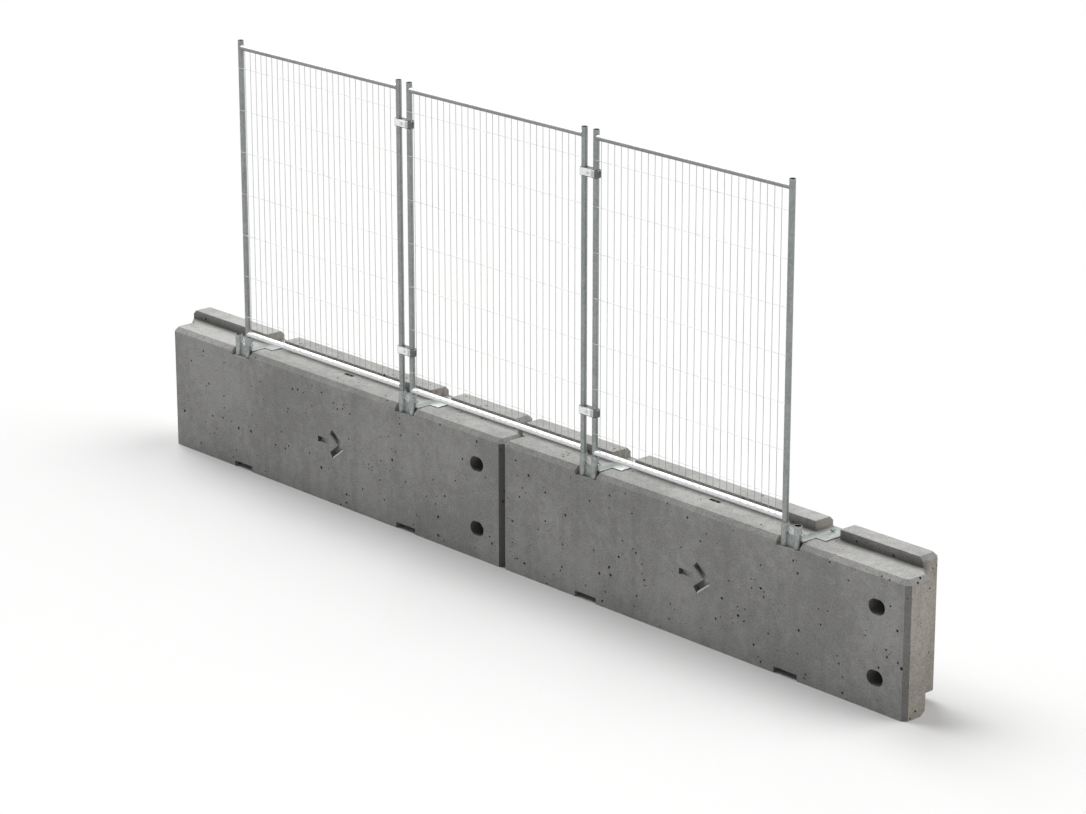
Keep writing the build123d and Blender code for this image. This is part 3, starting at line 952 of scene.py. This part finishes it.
@dataclass
class CastUnit(SubAssembly):
    """One concrete unit: worn edges, open air holes in its faces and a pressed-in arrow."""

    side: str
    seed: int
    edging: Edging = Edging(0.004, 2, 20.0, 10.0)
    hole_count: int = 680
    smallest_hole: float = 0.0024
    largest_hole: float = 0.0092
    small_share: float = 2.3
    cluster_share: float = 0.2
    cluster_most: int = 3
    cluster_reach: float = 0.035
    hole_gap: float = 0.004
    hole_squash: float = 0.8
    hole_width: float = 1.1
    hole_reach: float = 1.35
    hole_shading: float = 30.0
    fine_from: float = 0.004
    hole_edge: float = 1.5
    hole_fall: float = 2.0
    # Painted shade: the most darkening in an air hole.
    hole_dark: float = 0.85
    arrow_from_end: float = 1.548
    arrow_level: float = 0.367
    arrow_half: Pair = (0.13, 0.1)
    arrow_depth: float = 0.03
    # Painted shade on the arrow's walls that face away from the light.
    arrow_dark: float = 0.7
    arrow_shade: float = -0.05
    front_limit: float = -0.99
    stroke_depth: float = 0.024
    barb_length: float = 0.118
    tip_from_middle: float = 0.1075
    barb_angle: float = 36.0
    lip_from_middle: Pair = (0.0165, 0.0135)
    lip_radius: Pair = (0.0085, 0.0105)
    lip_stretch: float = 1.4
    # Painted highlight: arrow faces turned this far left and lit within this range.
    highlight_lean: float = -0.2
    highlight_lit_range: Pair = (0.25, 1.0)
    slot_from_end: float = 2.838
    slot_levels: Pair = (0.178, 0.558)
    slot_half: Pair = (0.056, 0.043)
    slot_wall: float = 0.3
    # Painted shade on the walls of the handling holes.
    slot_dark: float = 0.55
    lifting_place: Triple = (1.543, 0.158, 0.7)
    lifting_half: Triple = (0.15, 0.06, 0.0445)
    # Painted shade in the lifting recess.
    lifting_dark: float = 0.6
    lit_from: Triple = (-0.66, 0.0, 0.74)
    square_on: float = 0.8
    half_turned: float = 0.5
    arris_turn: float = 0.3
    arris_upright: float = 0.2
    # Painted shade on the upright front bevels, darker on the left unit, whose bevel lies in the joint.
    arris_shade_by_side: dict[str, float] = field(default_factory=lambda: {"left": 1.0, "right": 0.55})
    side_weights: dict[str, float] = field(
        default_factory=lambda: {"front": 1.0, "back": 0.8, "end": 0.9, "top": 0.5, "under": 0.0}
    )
    holes: list[AirHole] = field(default_factory=list, init=False)
    corner: Vector = field(default_factory=Vector, init=False)

    @property
    def node(self) -> str:
        """Name of the unit's node."""
        return self.side + "_barrier_unit"

    def build(self) -> None:
        """Make the unit, cut its holes, paint its light and shade and dress it."""
        self.corner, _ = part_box(self.node)
        self._scatter()
        piece = self.edging.rounded(self.node, self.side + "_cast_unit")
        self._cut(piece, as_piece(self._lenses(), self.side + "_air_holes", self.hole_shading))
        # Painted shade in the holes and recesses and on the arrow's unlit walls.
        paint(piece, "hole_depth", self._depth_rule(piece.data))
        # Painted shade in the arrow's barbs, darker with depth.
        paint(piece, "recess", self._recess_shade, Domain.POINT)
        # Painted shade on the upright front bevels.
        paint(piece, "arris", self._arris_shade)
        # Painted highlight on the arrow's sloped lip.
        paint(piece, "chalk", self._edge_highlight)
        # Painted warm light on the ends.
        paint(piece, "dust", lambda face: float(abs(face.normal.x) > self.square_on))
        # Painted light on the tops.
        paint(piece, "bleach", lambda face: float(face.normal.z > self.square_on))
        self.fit(piece, FIXED_BODY, Slot.CONCRETE, self.node)

    def _weight(self, normal: Vector) -> float:
        """Say how readily air holes form on a face.

        Args:
            normal: The face's direction.

        Returns:
            The weight.
        """
        if abs(normal.z) > self.half_turned:
            return self.side_weights["top" if normal.z > 0 else "under"]
        if abs(normal.x) > self.half_turned:
            return self.side_weights["end"]
        return self.side_weights["front" if normal.y < 0 else "back"]

    def _scatter(self) -> None:
        """Choose the places of the air holes, some of them in clusters, none touching another."""
        dice = random.Random(self.seed)
        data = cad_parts[self.node].data
        data.calc_loop_triangles()
        corners = [[data.vertices[index].co for index in item.vertices] for item in data.loop_triangles]
        normals = [(b - a).cross(c - a) for a, b, c in corners]
        weights = [normal.length * self._weight(normal.normalized()) for normal in normals]
        ratio = self.largest_hole / self.smallest_hole
        for pick in dice.choices(range(len(corners)), weights, k=self.hole_count):
            a, b, c = corners[pick]
            normal = normals[pick].normalized()
            along, across = math.sqrt(dice.random()), dice.random()
            place = a * (1 - along) + b * along * (1 - across) + c * along * across
            clustered = dice.random() < self.cluster_share
            members = 1 + (dice.randint(1, self.cluster_most) if clustered else 0)
            if self._in_arrow(place - self.corner):
                continue
            for index in range(members):
                stray = Vector([dice.uniform(-1, 1) * self.cluster_reach for _ in range(3)])
                spot = place + (stray - normal * stray.dot(normal) if index else Vector())
                radius = self.smallest_hole * ratio ** (dice.random() ** self.small_share)
                room = radius * self.hole_reach + self.hole_gap
                gaps = ((spot - hole.spot).length - hole.radius * self.hole_reach for hole in self.holes)
                if all(gap > room for gap in gaps):
                    self.holes.append(AirHole(spot, normal, radius))

    def _lenses(self) -> Mesh:
        """Shape an uneven round body for every air hole, standing half out of the surface.

        Returns:
            The bodies, with the wedge of the arrow's lip.
        """
        dice = random.Random(self.seed)
        lenses = bmesh.new()
        for hole in self.holes:
            low, high = self.hole_squash, self.hole_reach
            stretch = (dice.uniform(low, self.hole_width), dice.uniform(low, high), high)
            shape = Matrix.Diagonal((*(hole.radius * factor for factor in stretch), 1.0))
            turn = Matrix.Rotation(dice.uniform(0.0, math.tau), 4, "Z")
            matrix = turned_to(hole.normal, hole.spot) @ turn @ shape
            finer = 2 if hole.radius > self.fine_from else 1
            bmesh.ops.create_icosphere(lenses, subdivisions=finer, radius=1.0, matrix=matrix)
        self._add_lip(lenses)
        return lenses

    def _add_lip(self, lenses: Mesh) -> None:
        """Add the wedge that slopes the lower edge of the arrow's lower barb.

        Args:
            lenses: The bodies to cut out.
        """
        angle = math.radians(self.barb_angle)
        barb = Vector((math.cos(angle), 0.0, math.sin(angle)))
        aside = Vector((math.sin(angle), 0.0, -math.cos(angle)))
        tip = self.corner + Vector((self.arrow_from_end + self.tip_from_middle, 0.0, self.arrow_level))
        far_offset, near_offset = self.lip_from_middle
        far = tip - barb * self.barb_length + aside * far_offset
        near = tip + aside * near_offset
        along = (near - far).normalized()
        outwards = Vector((along.z, 0.0, -along.x))
        turn = Matrix((Vector((0.0, -1.0, 0.0)), outwards, along)).transposed().to_4x4()
        shape = Matrix.Diagonal((self.lip_stretch, 1.0, 1.0, 1.0))
        far_radius, near_radius = self.lip_radius
        bmesh.ops.create_cone(
            lenses,
            cap_ends=True,
            segments=3,
            radius1=far_radius,
            radius2=near_radius,
            depth=(near - far).length,
            matrix=Matrix.Translation((far + near) / 2) @ turn @ shape,
        )

    def _cut(self, piece: Piece, lenses: Piece) -> None:
        """Cut the air holes out of the unit for good.

        Args:
            piece: The unit.
            lenses: The bodies to cut out, which are removed.
        """
        modifier = piece.modifiers.new("air_holes", "BOOLEAN")
        modifier.operation = "DIFFERENCE"
        modifier.solver = "MANIFOLD"
        modifier.object = lenses
        shown = piece.evaluated_get(bpy.context.evaluated_depsgraph_get())
        data = bpy.data.meshes.new_from_object(shown)
        piece.modifiers.clear()
        piece.data = data
        shade(data, self.edging.smooth_below)
        bpy.data.objects.remove(lenses)

    def _depth_rule(self, data: bpy.types.Mesh) -> Rule:
        """Make the rule that paints shade on faces in holes and recesses and on the arrow's unlit walls.

        Args:
            data: The unit's mesh.

        Returns:
            The rule.
        """
        tree = KDTree(len(self.holes))
        for index, hole in enumerate(self.holes):
            tree.insert(hole.spot, index)
        tree.balance()

        def rule(face: Face) -> float:
            """Look for the air hole, handling hole, lifting recess or arrow that a face lies in.

            Args:
                face: The face.

            Returns:
                How much shade is painted on it, or 0 on an open face.
            """
            spot, index, _ = tree.find(face.center)
            hole = self.holes[index]
            corners = (data.vertices[number].co for number in face.vertices)
            if all((corner - spot).length < hole.radius * self.hole_edge for corner in corners):
                below = (spot - face.center).dot(hole.normal) / hole.radius
                return min(self.hole_dark, max(0.0, self.hole_fall * below))
            place = face.center - self.corner
            for level in self.slot_levels:
                near = abs(place.x - self.slot_from_end) < self.slot_half[0]
                wall = abs(face.normal.y) < self.slot_wall
                if near and wall and abs(place.z - level) < self.slot_half[1]:
                    return self.slot_dark
            away = place - Vector(self.lifting_place)
            if all(abs(step) < half for step, half in zip(away, self.lifting_half)):
                return self.lifting_dark
            return self.arrow_dark if self._arrow_light(face) < self.arrow_shade else 0.0

        return rule

    def _arrow_light(self, face: Face) -> float:
        """Say how squarely a wall of the arrow faces the light.

        Args:
            face: The face.

        Returns:
            The share, or 1 for a face outside the arrow.
        """
        if self._in_arrow(face.center - self.corner) and face.normal.y > self.front_limit:
            return face.normal.dot(Vector(self.lit_from))
        return 1.0

    def _in_arrow(self, place: Vector) -> bool:
        """Say whether a place, seen from the unit's lowest corner, lies in the arrow's field."""
        near = abs(place.x - self.arrow_from_end) < self.arrow_half[0] and place.y < self.arrow_depth
        return near and abs(place.z - self.arrow_level) < self.arrow_half[1]

    def _recess_shade(self, point: Point) -> float:
        """Say how deep a point lies in a barb of the arrow, which sets the shade painted there.

        Args:
            point: The point.

        Returns:
            The share of the full depth.
        """
        place = point.co - self.corner
        in_barb = self._in_arrow(place) and place.x > self.arrow_from_end
        return min(1.0, max(0.0, place.y / self.stroke_depth)) if in_barb else 0.0

    def _edge_highlight(self, face: Face) -> float:
        """Give 1 to the sloped edge of the arrow that faces the light, where a highlight is painted."""
        low, high = self.highlight_lit_range
        return float(face.normal.x < self.highlight_lean and low < self._arrow_light(face) < high)

    def _arris_shade(self, face: Face) -> float:
        """Say how much shade is painted on a face of an upright front bevel.

        Args:
            face: The face.

        Returns:
            The share.
        """
        forward = face.normal.y < -self.arris_turn and abs(face.normal.x) > self.arris_turn
        broad = face.area > self.edging.width ** 2
        upright = abs(face.normal.z) < self.arris_upright
        return self.arris_shade_by_side[self.side] if forward and broad and upright else 0.0


@dataclass
class Castings(SubAssembly):
    """What is cast into the units: cages, anchors and bolt sockets."""

    sides: tuple[str, ...] = UNIT_SIDES
    edging: Edging = Edging(0.0012, 2, 25.0)

    def build(self) -> None:
        """Dress the hidden steel and round the anchors, which show."""
        for side in self.sides:
            self.finishes.dress(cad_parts[side + "_reinforcement_cage"], Slot.REBAR)
            node = side + "_lifting_anchor"
            anchor = self.edging.rounded(node, side + "_plate_anchor")
            self.fit(anchor, FIXED_BODY, Slot.ANCHOR, node)
        self.finishes.dress(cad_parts["cast_in_bolt_sockets"], Slot.FASTENER)


@dataclass
class SocketBracket(SubAssembly):
    """One welded bracket with rounded edges and its weld beads."""

    number: int
    edging: Edging = Edging(0.0008, smooth_below=25.0)
    socket_radius: float = 0.0212
    socket_pitch: float = 0.09
    web_half: float = 0.003
    web_top_drop: float = 0.058
    strap_drop: float = 0.077
    bead_radius: float = 0.0022
    bead_step: float = 0.003
    bead_start: float = 0.06
    bead_sweep: float = 0.88

    @property
    def node(self) -> str:
        """Name of the bracket's node."""
        return f"socket_bracket_{self.number}"

    def build(self) -> None:
        """Make the bracket and its welds."""
        piece = self.edging.rounded(self.node, f"welded_bracket_{self.number}")
        # Painted shade inside the sockets.
        paint(piece, "grime", bore_rule(self._socket_axes(), self.socket_radius))
        self.fit(piece, FIXED_BODY, Slot.BRACKET, self.node)
        beads = weld_beads(self._bead_paths(), self.bead_radius, f"bracket_{self.number}_welds")
        self.fit(beads, FIXED_BODY, Slot.BRACKET)

    def _socket_axes(self) -> list[Pair]:
        """Work out where the sockets stand.

        Returns:
            X and Y of the left and the right socket.
        """
        low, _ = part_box(self.node)
        left, line = low.x + self.socket_radius, low.y + self.socket_radius
        return [(left, line), (left + self.socket_pitch, line)]

    def _bead_paths(self) -> list[list[Vector]]:
        """Work out where the beads run.

        Returns:
            Two upright beads at each end of the web, and one round the back of the right socket.
        """
        low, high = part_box(self.node)
        (left, line), (right, _) = self._socket_axes()
        reach = math.sqrt(self.socket_radius ** 2 - self.web_half ** 2)
        bottom, top = low.z + 2 * self.bead_radius, high.z - self.web_top_drop - self.bead_radius
        count = int((top - bottom) / self.bead_step)
        levels = [bottom + (top - bottom) * index / count for index in range(count + 1)]
        paths = [
            [Vector((x, line + side * self.web_half, level)) for level in levels]
            for x in (left + reach, right - reach)
            for side in (-1, 1)
        ]
        middle = Vector((right, line, high.z - self.strap_drop))
        steps = int(math.pi * self.socket_radius / self.bead_step)
        shares = [self.bead_start + self.bead_sweep * index / steps for index in range(steps + 1)]
        rays = [Vector((math.cos(math.pi * s), math.sin(math.pi * s), 0.0)) for s in shares]
        return paths + [[middle + self.socket_radius * ray for ray in rays]]


@dataclass
class BracketFasteners(SubAssembly):
    """Bolts and washers of the straps, and the locking screws of the sockets."""

    bolt_head: Hexagon = Hexagon(0.024, 0.010)
    bolt_radius: float = 0.008
    bolt_sides: int = 20
    screw_head: Hexagon = Hexagon(0.016, 0.0064)
    screw_thread: Thread = Thread(0.005, 0.0015)
    washer_edging: Edging = Edging(0.0005)

    def build(self) -> None:
        """Make all the fasteners of the brackets."""
        bolts = as_piece(self._bolts(), "strap_bolts")
        self.fit(bolts, FIXED_BODY, Slot.FASTENER, "bracket_bolts")
        bolts.data.materials[0] = self.finishes.bolt
        washers = self.washer_edging.rounded("bracket_washers", "strap_washers")
        self.fit(washers, FIXED_BODY, Slot.FASTENER, "bracket_washers")
        screws = as_piece(self._screws(), "locking_screws")
        self.fit(screws, FIXED_BODY, Slot.FASTENER, "socket_locking_screws")

    def _bolts(self) -> Mesh:
        """Make the bolts of the straps, with their heads on top.

        Returns:
            The bolts.
        """
        bolts = bmesh.new()
        for low, high in solids_of("bracket_bolts"):
            foot = (low + high) / 2
            seat = foot.copy()
            foot.z, seat.z = low.z, high.z - self.bolt_head.height
            add_bar(bolts, foot, seat, self.bolt_radius, self.bolt_sides)
            self.bolt_head.add(bolts, seat, UP)
        return bolts

    def _screws(self) -> Mesh:
        """Make the locking screws, with their heads to the right.

        Returns:
            The screws.
        """
        screws = bmesh.new()
        for low, high in solids_of("socket_locking_screws"):
            tip = (low + high) / 2
            seat = tip.copy()
            tip.x, seat.x = low.x, high.x - self.screw_head.height
            self.screw_thread.add(screws, tip, seat)
            self.screw_head.add(screws, seat, Vector((1.0, 0.0, 0.0)))
        return screws


@dataclass
class MeshPanel(SubAssembly):
    """One panel: open tube legs, saddled rails, round wires and weld beads."""

    number: int
    tube_shading: float = 30.0
    wire_sides: int = 8
    wire_shading: float = 60.0
    bead_radius: float = 0.0021
    bead_points: int = 44
    underside: float = 0.3
    underside_shade: float = 0.62

    @property
    def body(self) -> str:
        """Name of the panel's body."""
        return f"panel_{self.number}"

    def build(self) -> None:
        """Make every piece of the panel."""
        for word in ("left_leg", "right_leg", "top_rail", "bottom_rail"):
            node = f"{self.body}_{word}"
            piece = as_piece(copy_of(node), node + "_tube", self.tube_shading)
            self.fit(piece, self.body, Slot.TUBE, node)
            if word.endswith("leg"):
                low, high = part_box(node)
                middle = (low + high) / 2
                # Painted shade inside the leg's open top.
                paint(piece, "grime", bore_rule([(middle.x, middle.y)], middle.x - low.x))
            else:
                # The rails take the lighter copy of the tube's zinc: painted light.
                piece.data.materials[0] = self.finishes.rail
            # Painted shade on the underside of the top rail.
            if word == "top_rail":
                paint(piece, "grime", self._underside_shade)
        for word, lengthwise in (("upright_wires", 2), ("cross_wires", 0)):
            node = f"{self.body}_{word}"
            drawn = as_piece(self._wires(node, lengthwise), node + "_drawn", self.wire_shading)
            self.fit(drawn, self.body, Slot.WIRE, node)
            if word == "upright_wires":
                # The upright wires take the darker copy of the wire's zinc: painted shade.
                drawn.data.materials[0] = self.finishes.upright
        beads = weld_beads(self._bead_paths(), self.bead_radius, self.body + "_welds")
        self.fit(beads, self.body, Slot.TUBE)

    def _underside_shade(self, face: Face) -> float:
        """Give the painted shade on the underside of the top rail at a face."""
        return self.underside_shade if face.normal.z < self.underside else 0.0

    def _wires(self, node: str, lengthwise: int) -> Mesh:
        """Draw a round wire in the place of each solid of a node.

        Args:
            node: The node of the wires.
            lengthwise: Number of the axis that the wires run along.

        Returns:
            The wires.
        """
        wires = bmesh.new()
        for low, high in solids_of(node):
            start, end = (low + high) / 2, (low + high) / 2
            start[lengthwise], end[lengthwise] = low[lengthwise], high[lengthwise]
            add_bar(wires, start, end, (high.y - low.y) / 2, self.wire_sides)
        return wires

    def _bead_paths(self) -> list[list[Vector]]:
        """Work out the saddle line where each rail meets each leg.

        Returns:
            One closed line per joint.
        """
        turns = [math.tau * index / self.bead_points for index in range(self.bead_points + 1)]
        paths = []
        for leg, side in (("left_leg", 1), ("right_leg", -1)):
            low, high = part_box(f"{self.body}_{leg}")
            middle, radius = (low + high) / 2, (high.x - low.x) / 2
            rays = [Vector((side * abs(math.sin(a)), math.cos(a), math.sin(a))) for a in turns]
            for rail in ("top_rail", "bottom_rail"):
                rail_low, rail_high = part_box(f"{self.body}_{rail}")
                middle.z = (rail_low.z + rail_high.z) / 2
                paths.append([middle + radius * ray for ray in rays])
        return paths


@dataclass
class Coupler(SubAssembly):
    """One coupler: two rounded halves drawn together by a bolt and nut."""

    height: Height
    number: int
    edging: Edging = Edging(0.0022, 3, 28.0, 32.0)
    bolt_head: Hexagon = Hexagon(0.013, 0.0053)
    bolt_thread: Thread = Thread(0.004, 0.00125)
    nut_edging: Edging = Edging(0.00065)
    leg_offset: float = 0.045
    wrap_reach: float = 0.026
    wrap_shade: float = 0.42
    wrap_turn: float = 0.6
    edge_shade: float = 0.86
    edge_turn: float = 0.7

    @property
    def name(self) -> str:
        """Start of the names of the coupler's nodes and bodies."""
        return f"{self.height.value}_coupler_{self.number}"

    def build(self) -> None:
        """Make the halves, the bolt and the nut."""
        for half in ("front", "rear"):
            node = f"{self.name}_{half}_half"
            piece = self.edging.rounded(node, node + "_pressing")
            # Painted shade on the cut edges and the wrap round the right leg.
            paint(piece, "grime", self._shade_rule())
            self.fit(piece, f"{self.name}_{half}", Slot.COUPLER, node)
        self._bolt()
        node = self.name + "_nut"
        nut = self.nut_edging.rounded(node, node + "_hexagon")
        self.fit(nut, self.name + "_rear", Slot.FASTENER, node)

    def _shade_rule(self) -> Rule:
        """Make the rule that paints shade on the cut edges, and less on the wrap round the right leg.

        Returns:
            The rule.
        """
        low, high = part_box(self.name + "_bolt")
        leg = (low.x + high.x) / 2 + self.leg_offset

        def rule(face: Face) -> float:
            """Say whether a face is a cut edge, part of the wrap or neither.

            Args:
                face: The face.

            Returns:
                How much shade is painted on it.
            """
            wraps = abs(face.center.x - leg) < self.wrap_reach
            if abs(face.normal.z) > self.edge_turn or (wraps and abs(face.normal.x) > self.wrap_turn):
                return self.edge_shade
            return self.wrap_shade if wraps else 0.0

        return rule

    def _bolt(self) -> None:
        """Make the bolt, with its head at the front."""
        node = self.name + "_bolt"
        low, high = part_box(node)
        seat = (low + high) / 2
        end = seat.copy()
        seat.y, end.y = low.y + self.bolt_head.height, high.y
        mesh = bmesh.new()
        self.bolt_head.add(mesh, seat, Vector((0.0, -1.0, 0.0)))
        self.bolt_thread.add(mesh, seat, end)
        self.fit(as_piece(mesh, node + "_threaded"), self.name + "_front", Slot.FASTENER, node)


@dataclass(frozen=True)
class Lamp:
    """One broad lamp, far away."""

    name: str
    towards: Triple
    strength: float
    spread: float
    colour: Colour = (1.0, 1.0, 1.0)

    def hang(self) -> None:
        """Put the lamp into the scene."""
        light = bpy.data.lights.new(self.name, "SUN")
        light.energy = self.strength
        light.angle = math.radians(self.spread)
        light.color = self.colour
        lamp = bpy.data.objects.new(self.name, light)
        lamp.rotation_euler = Vector(self.towards).to_track_quat("Z", "Y").to_euler()
        bpy.context.scene.collection.objects.link(lamp)


@dataclass
class Studio:
    """Plain pale floor, soft light and the camera at the photograph's angle."""

    camera_place: Triple = (14.11396, -12.7565, 7.006)
    camera_yaw: float = 47.53
    camera_pitch: float = 17.80
    camera_lens: float = 120.17
    camera_reach: float = 200.0
    floor_reach: float = 60.0
    floor_colour: Colour = (0.74, 0.74, 0.74)
    sky_colour: Colour = (1.0, 1.0, 1.0)
    sky_strength: float = 0.15
    lamps: tuple[Lamp, ...] = (
        Lamp("upper_left", (-0.64, 0.03, 0.77), 3.3, 54.0),
        Lamp("right_rear", (0.5, 0.5, 0.7), 1.8, 60.0, (1.0, 0.993, 0.982)),
    )

    def build(self) -> None:
        """Set up the floor, the light and the camera."""
        self._floor()
        self._sky()
        for lamp in self.lamps:
            lamp.hang()
        self._camera()
        bpy.context.scene.view_settings.view_transform = "Standard"

    def _floor(self) -> None:
        """Lay the floor under the barrier."""
        mesh = bmesh.new()
        bmesh.ops.create_grid(mesh, x_segments=1, y_segments=1, size=self.floor_reach)
        floor = as_piece(mesh, "floor")
        material, graph, shader = start_material("pale_floor")
        matt = {"Base Color": self.floor_colour, "Roughness": 1.0, "Specular IOR Level": 0.0}
        graph.feed(shader, matt)
        floor.data.materials.append(material)

    def _sky(self) -> None:
        """Light the scene from all round, before a white background."""
        world = bpy.data.worlds.new("studio")
        world.use_nodes = True
        bpy.context.scene.world = world
        graph = Graph(world.node_tree)
        rays = graph.add("LightPath").outputs
        seen = graph.math("MAXIMUM", rays["Is Camera Ray"], rays["Is Glossy Ray"])
        seen = graph.math("MAXIMUM", seen, rays["Is Transmission Ray"])
        light = graph.add("Background", {"Color": self.sky_colour, "Strength": self.sky_strength})
        white = graph.add("Background", {"Color": self.sky_colour, "Strength": 1.0})
        mixed = graph.add("MixShader", {0: seen, 1: light.outputs[0], 2: white.outputs[0]})
        graph.add("OutputWorld", {"Surface": mixed.outputs[0]})

    def _camera(self) -> None:
        """Stand the camera where the photograph was taken from."""
        lens = bpy.data.cameras.new("camera")
        lens.lens = self.camera_lens
        lens.clip_end = self.camera_reach
        camera = bpy.data.objects.new("camera", lens)
        camera.location = self.camera_place
        tilt, turn = math.radians(90.0 - self.camera_pitch), math.radians(self.camera_yaw)
        camera.rotation_euler = (tilt, 0.0, turn)
        bpy.context.scene.collection.objects.link(camera)
        bpy.context.scene.camera = camera


def main() -> None:
    """Build the barrier piece by piece, then the studio round it."""
    logging.basicConfig(level=logging.INFO, format="%(message)s")
    finishes = Finishes()
    for seed, side in enumerate(UNIT_SIDES, start=1):
        CastUnit(finishes, side, seed).build()
    Castings(finishes).build()
    for number in BRACKET_NUMBERS:
        SocketBracket(finishes, number).build()
    BracketFasteners(finishes).build()
    for number in PANEL_NUMBERS:
        MeshPanel(finishes, number).build()
    for number in COUPLER_NUMBERS:
        for height in Height:
            Coupler(finishes, height, number).build()
    Studio().build()


if __name__ == "__main__":
    main()
